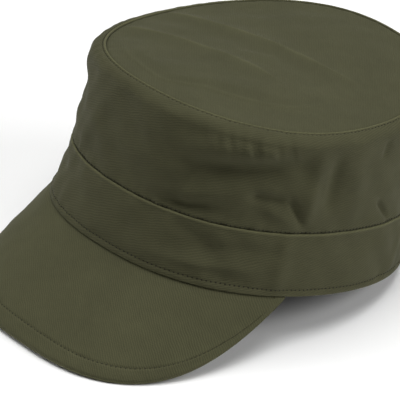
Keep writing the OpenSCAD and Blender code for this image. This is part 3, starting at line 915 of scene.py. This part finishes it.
def visor_board():
    """The stiff card between the covers, short of the corners where they close on each other."""
    phi = 80 * np.sin(rad(np.linspace(-90, 90, 201)))[:, None]
    whole = visor_length(phi)
    f = np.linspace(0.10, 1, 50)[None, :]
    gap = CLOTH + 0.12
    tip = whole - VISOR_T / 2
    upper = visor_at(phi, f * tip, gap - 0.9 * visor_bend(phi, f * tip, 0) * (1 - f ** 8))
    edge = visor_turn(phi, np.linspace(20, 160, 9)[None, :], VISOR_T / 2 - gap)
    lower = visor_at(phi, (f * tip)[:, ::-1], VISOR_T - gap + 0.9 * (visor_bend(phi, f * tip, 1)
                                                                     * (1 - f ** 8))[:, ::-1])
    grid = np.concatenate([upper, edge, lower], 1)
    obj = section_piece("visor_card", grid, stack(grid[..., 0], grid @ MIDWAY, 0 * grid[..., 0]), False,
                        None, 9)
    finish(obj, BOARD, "cap", "board", "visor_board")


visor_board()


# ---------------------------------------------------------------- rear closure
def binding():
    w, k = ARCH_W / 2, 2 / ARCH_P
    leg, th = 6.0, 0.6
    psi = np.linspace(0.5, 179.5, 150)[:, None]
    c, s = np.cos(rad(psi)), np.sin(rad(psi))
    n0, n1 = spow(c, 2 - k) / w, np.abs(s) ** (2 - k) / ARCH_H
    size = np.hypot(n0, n1)
    n0, n1 = n0 / size, n1 / size
    count = 18
    e = np.linspace(leg, 0.5, count)
    turn = np.linspace(-90, 90, 11)[1:-1]
    face = np.concatenate([np.zeros(count), 0.5 + 0.5 * np.sin(rad(turn)), np.ones(count)])
    e_out = np.concatenate([e, 0.5 - 0.5 * np.cos(rad(turn)), e[::-1]])
    e_in = np.concatenate([e, np.full(turn.size, 0.6), e[::-1]])
    skin_in = np.concatenate([np.full(count, th), np.full(turn.size, th), np.full(count, th)])
    row = 0.22 * np.exp(-((e_out - 4.6) / 0.5) ** 2) * np.where(face == 0, 1, np.where(face == 1, -1, 0))
    e_all = np.concatenate([e_out, e_in[::-1]])[None, :]
    f_all = np.concatenate([face, face[::-1]])[None, :]
    inward = np.concatenate([row, skin_in * (1 - 2 * face[::-1])])[None, :]
    q = w * spow(c, k) + n0 * e_all
    z = ARCH_H * np.abs(s) ** k + n1 * e_all
    low = mix(-0.8, 0.2, ease((z - BAND_H - 1) / 5))
    high = mix(4.7, 2.7, ease((z - BAND_H - 2) / 5))
    grid = rear_pt(q, z, mix(low, high, f_all) + inward)
    along = arc_table(np.stack([q[:, 5], z[:, 5]], -1))[:, None]
    obj = section_piece("arch_binding_tape", grid, stack(along + 0 * e_all, e_all + 9 * f_all + 0 * q, 0 * q),
                        False, None, 0)
    finish(obj, TAPE, "cap", "tape", "arch_binding")


binding()


def root_q(z):
    q0, q1 = arch_q(TAB_Z, 0) - 2.5, arch_q(TAB_Z + TAB_H, 0) - 2.5
    return mix(q0, q1, (z - TAB_Z) / TAB_H)


def strip_section(rows):
    """The closed section of a flat strip: how high each point is, how deep, and how far the two
    narrow sides bulge there. All run from 0 to 1."""
    edge = np.linspace(0, 1, 7)[1:-1]
    level = np.linspace(0, 1, rows)
    frac = np.concatenate([level, np.ones(5), level[::-1], np.zeros(5)])[None, :]
    side = np.concatenate([np.zeros(rows), edge, np.ones(rows), edge[::-1]])[None, :]
    round_side = np.sin(np.pi * edge)
    bulge = np.concatenate([np.zeros(rows), round_side, np.zeros(rows), -round_side])[None, :]
    return frac, side, bulge


def corner_cut(left, radius):
    """How much a rounded corner takes off each side, at a distance from the end."""
    return radius - np.sqrt(np.clip(radius ** 2 - np.clip(radius - left, 0, None) ** 2, 0, None))


def tab(name, root, tip, depth, thick, z0, z1, mat, node, slot_name, body, corner=4.0,
        rough=0.0, cols=70, rows=26, both_ends=False):
    """A flat strip on the rear. root gives its first side as a function of z, tip is its far end.
    both_ends rounds the corners at the root too."""
    u = np.linspace(0, 1, cols)[:, None]
    frac, side, bulge = strip_section(rows)
    start = root(mix(z0, z1, frac))
    q = mix(start, tip, u)
    left = np.abs(tip - q)
    inset = corner_cut(left, corner)
    if both_ends:
        inset = inset + corner_cut(np.abs(q - start), corner)
    z = mix(z0 + inset, z1 - inset, frac) + 0.35 * thick * bulge
    d = depth(u, z) + thick * side
    face = np.where(side < 0.5, -1.0, 1.0)
    base = rear_pt(q, z, d)
    if rough:
        d = d + rough * face * (0.5 + 0.5 * waves(base, 1.0, 91, 9)) * np.where(bulge == 0, 1, 0)
    else:
        border = np.minimum(np.minimum(z - z0, z1 - z), left)
        d = d - 0.16 * face * np.exp(-((border - 2.2) / 0.5) ** 2)
    grid = rear_pt(q, z, d)
    obj = section_piece(name, grid, stack(girth(q_angle(q)), z, d), False)
    finish(obj, mat, body, slot_name, node)


def hook_depth(u, z):
    return mix(0.3, -2.1, ease(u / 0.35)) + 0 * z


LOOP_PILE = pile("loop_pile", (0.052, 0.052, 0.030))
HOOK_NYLON = pile("hook_nylon", (0.040, 0.041, 0.026))
tab("loop_tab_cloth", lambda z: root_q(z) + 2.2, -15, lambda u, z: 1.2 + 0 * u * z, 1.0, TAB_Z, TAB_Z + TAB_H,
    TWILL_TAB, "loop_tab", "twill", "cap")
tab("loop_patch_pile", lambda z: 24 + 0 * z, -13, lambda u, z: 0.2 + 0 * u * z, 0.8, TAB_Z + 2,
    TAB_Z + TAB_H - 2, LOOP_PILE, "loop_patch", "loop_pile", "cap",
    corner=2.0, rough=0.13, cols=110, rows=60, both_ends=True)
tab("hook_patch_nylon", lambda z: 22 + 0 * z, -12, lambda u, z: -0.9 + 0 * u * z, 0.65, TAB_Z + 2,
    TAB_Z + TAB_H - 2, HOOK_NYLON, "hook_patch", "hook_nylon", "hook_flap",
    corner=2.0, rough=0.10, cols=100, rows=60, both_ends=True)


def hook_tab():
    """The peeling flap. It turns whole about the hinge line at its sewn root."""
    frac, side, bulge = strip_section(26)
    start = -root_q(mix(TAB_Z, TAB_Z + TAB_H, frac))
    u = np.linspace(0, 1, 90)[:, None]
    q = mix(start - 2.2, TAB_REACH, u)
    inside = (q - start) / (TAB_REACH - start)
    left = TAB_REACH - q
    inset = corner_cut(left, 5)
    z = mix(TAB_Z + inset, TAB_Z + TAB_H - inset, frac) + 0.35 * bulge
    face = np.where(side < 0.5, -1.0, 1.0)
    border = np.minimum(np.minimum(z - TAB_Z, TAB_Z + TAB_H - z), left)
    d = hook_depth(np.clip(inside, 0, 1), z) + side - 0.16 * face * np.exp(-((border - 2.2) / 0.5) ** 2)
    grid = rear_pt(q, z, d)
    obj = section_piece("hook_tab_cloth", grid, stack(girth(q_angle(q)), z, d), False)
    finish(obj, TWILL_TAB, "hook_flap", "twill", "hook_tab")


hook_tab()


# ---------------------------------------------------------------- stitches
def stitch_row(name, place, marks, mat, node, long=0.46, wide=0.85, high=0.42):
    """Short thread floats along a line. place(mark, aside) gives a point on the cloth. long is a share
    of the stitch pitch; wide and high are in millimetres."""
    marks = np.asarray(marks, float)
    line = place(marks, 0.0)
    run = arc_table(line)
    count = max(int(round(run[-1] / STITCH_PITCH)), 2)
    mid = (np.arange(count) + 0.5) * run[-1] / count
    half = long * STITCH_PITCH / 2
    s = np.linspace(-1, 1, 7)[None, :] * half + mid[:, None]
    at = np.interp(s, run, marks)
    centre = place(at, 0.0)
    beside = place(at, 0.3)
    ahead = place(np.interp(s + 0.2, run, marks), 0.0)
    along = unit(ahead - place(np.interp(s - 0.2, run, marks), 0.0))
    across = unit(beside - centre)
    up = np.cross(along, across)
    middle = np.array([0, 0, 20.0])
    up = up * np.where(np.sum(up * (centre - middle), -1, keepdims=True) < 0, -1, 1)
    a = np.linspace(-1, 1, 7)
    body_w = np.sqrt(np.clip(1 - a ** 4 * 0.86, 0.05, 1))
    arch = np.sqrt(np.clip(1 - a ** 2, 0, 1)) * 0.7 - 0.6
    ring = np.linspace(0, 2 * np.pi, 7)[:-1]
    out = np.cos(ring)[None, None, :] * (wide / 2) * body_w[None, :, None]
    side = across[:, :, None, :] * out[..., None]
    lift = (np.sin(ring)[None, None, :] * (high / 2) * body_w[None, :, None]
            + (arch * high)[None, :, None])
    pts = centre[:, :, None, :] + side + up[:, :, None, :] * lift[..., None]
    n, stations, m = pts.shape[:3]
    block = stations * m
    faces = []
    base = []
    for i in range(stations - 1):
        for j in range(m):
            k = (j + 1) % m
            base.append([i * m + j, i * m + k, (i + 1) * m + k, (i + 1) * m + j])
    ends = [list(range(m))[::-1], [(stations - 1) * m + j for j in range(m)]]
    for q in range(n):
        o = q * block
        faces += [[v + o for v in f] for f in base]
        faces += [[v + o for v in f] for f in ends]
    x = np.broadcast_to(s[:, :, None], pts.shape[:3])
    y = np.broadcast_to(ring[None, None, :], pts.shape[:3])
    coord = stack(x, y, 0 * x).reshape(-1, 3)
    obj = mesh_object(name, pts.reshape(-1, 3), faces, coord)
    tidy(obj)
    finish(obj, mat, "cap", "thread", node)


def band_face(t, z):
    t, z = np.broadcast_arrays(t, z)
    return band_pt(t, z, -(rise(t, z) + band_shape(t, z, 0 * z)))


def wall_face(t, z):
    t, z = np.broadcast_arrays(t, z)
    return wall_pt(t, z, -wall_up(t, z))


def roll_face(t, dist):
    t, dist = np.broadcast_arrays(t, np.asarray(dist, float))
    phi, up = roll_place(t, dist)
    return roll_pt(t, phi, -up)


def visor_face(phi, away):
    run = visor_length(phi) - away
    return visor_at(phi, run, -visor_bend(phi, run, 0))


around = np.linspace(-180, 180, 1441)
stitch_row("crown_stitches", lambda t, e: roll_face(t, CROWN_ROW + e), around, THREAD, "crown_thread")
end_t = float(q_angle(arch_q(BAND_H + 1.1, 7.5)))
stitch_row("band_top_stitches", lambda t, e: wall_face(t, BAND_ROW + e),
           np.linspace(-end_t, end_t, 1201), BAND_THREAD, "band_top_thread")
end_t = float(q_angle(arch_q(HEM_ROW, 7.5)))
stitch_row("hem_stitches", lambda t, e: band_face(t, HEM_ROW + e),
           np.linspace(-end_t, end_t, 1201), THREAD, "hem_thread")
phis = np.linspace(-89, 89, 3001)
phis = phis[visor_length(phis) > STITCHED]
stitch_row("visor_stitches", lambda p, e: visor_face(p, stitch_in(p) + e), phis, VISOR_THREAD,
           "visor_thread")


# ---------------------------------------------------------------- camera, lights, floor
def camera():
    az, el, roll = math.radians(43.41), math.radians(31.44), math.radians(4.70)
    back = Vector((math.sin(az) * math.cos(el), -math.cos(az) * math.cos(el), math.sin(el)))
    flat = Vector((math.cos(az), math.sin(az), 0))
    high = back.cross(flat)
    right = flat * math.cos(roll) + high * math.sin(roll)
    up = back.cross(right)
    aim = Vector((-0.0018, -0.0053, 0.0375))
    cam = bpy.data.cameras.new("camera")
    cam.sensor_width = 36
    cam.lens = 267.4
    cam.clip_start = 0.05
    cam.clip_end = 50
    obj = bpy.data.objects.new("camera", cam)
    bpy.context.scene.collection.objects.link(obj)
    m = Matrix((right, up, back)).transposed().to_4x4()
    m.translation = aim + back * 1.538
    obj.matrix_world = m
    bpy.context.scene.camera = obj


camera()
bpy.context.scene.view_settings.view_transform = "Standard"


def floor():
    mesh = bpy.data.meshes.new("floor")
    mesh.from_pydata([(-6, -6, 0), (6, -6, 0), (6, 6, 0), (-6, 6, 0)], [], [(0, 1, 2, 3)])
    obj = bpy.data.objects.new("floor", mesh)
    bpy.context.scene.collection.objects.link(obj)
    mat, nt, bsdf = blank("floor_paper")
    bsdf.inputs["Base Color"].default_value = (0.88, 0.88, 0.877, 1)
    bsdf.inputs["Roughness"].default_value = 0.9
    bsdf.inputs["Specular IOR Level"].default_value = 0.1
    mesh.materials.append(mat)


floor()


def area(name, place, aim, size, power, colour=(1, 1, 1)):
    light = bpy.data.lights.new(name, "AREA")
    light.shape = "RECTANGLE"
    light.size, light.size_y = size
    light.energy = power
    light.color = colour
    obj = bpy.data.objects.new(name, light)
    bpy.context.scene.collection.objects.link(obj)
    obj.location = place
    obj.rotation_euler = (Vector(aim) - Vector(place)).to_track_quat("-Z", "Y").to_euler()


area("top_light", (-0.1, -0.12, 2.5), (0, 0, 0.05), (2.0, 2.0), 66)
area("right_light", (1.75, 1.25, 1.25), (0, 0, 0.08), (1.2, 1.2), 34)
area("left_light", (-1.8, -1.5, 1.25), (0, 0, 0.08), (1.2, 1.2), 16)
world = bpy.data.worlds.new("studio")
world.use_nodes = True
world.node_tree.nodes["Background"].inputs[0].default_value = (1, 1, 1, 1)
world.node_tree.nodes["Background"].inputs[1].default_value = 0.06
bpy.context.scene.world = world
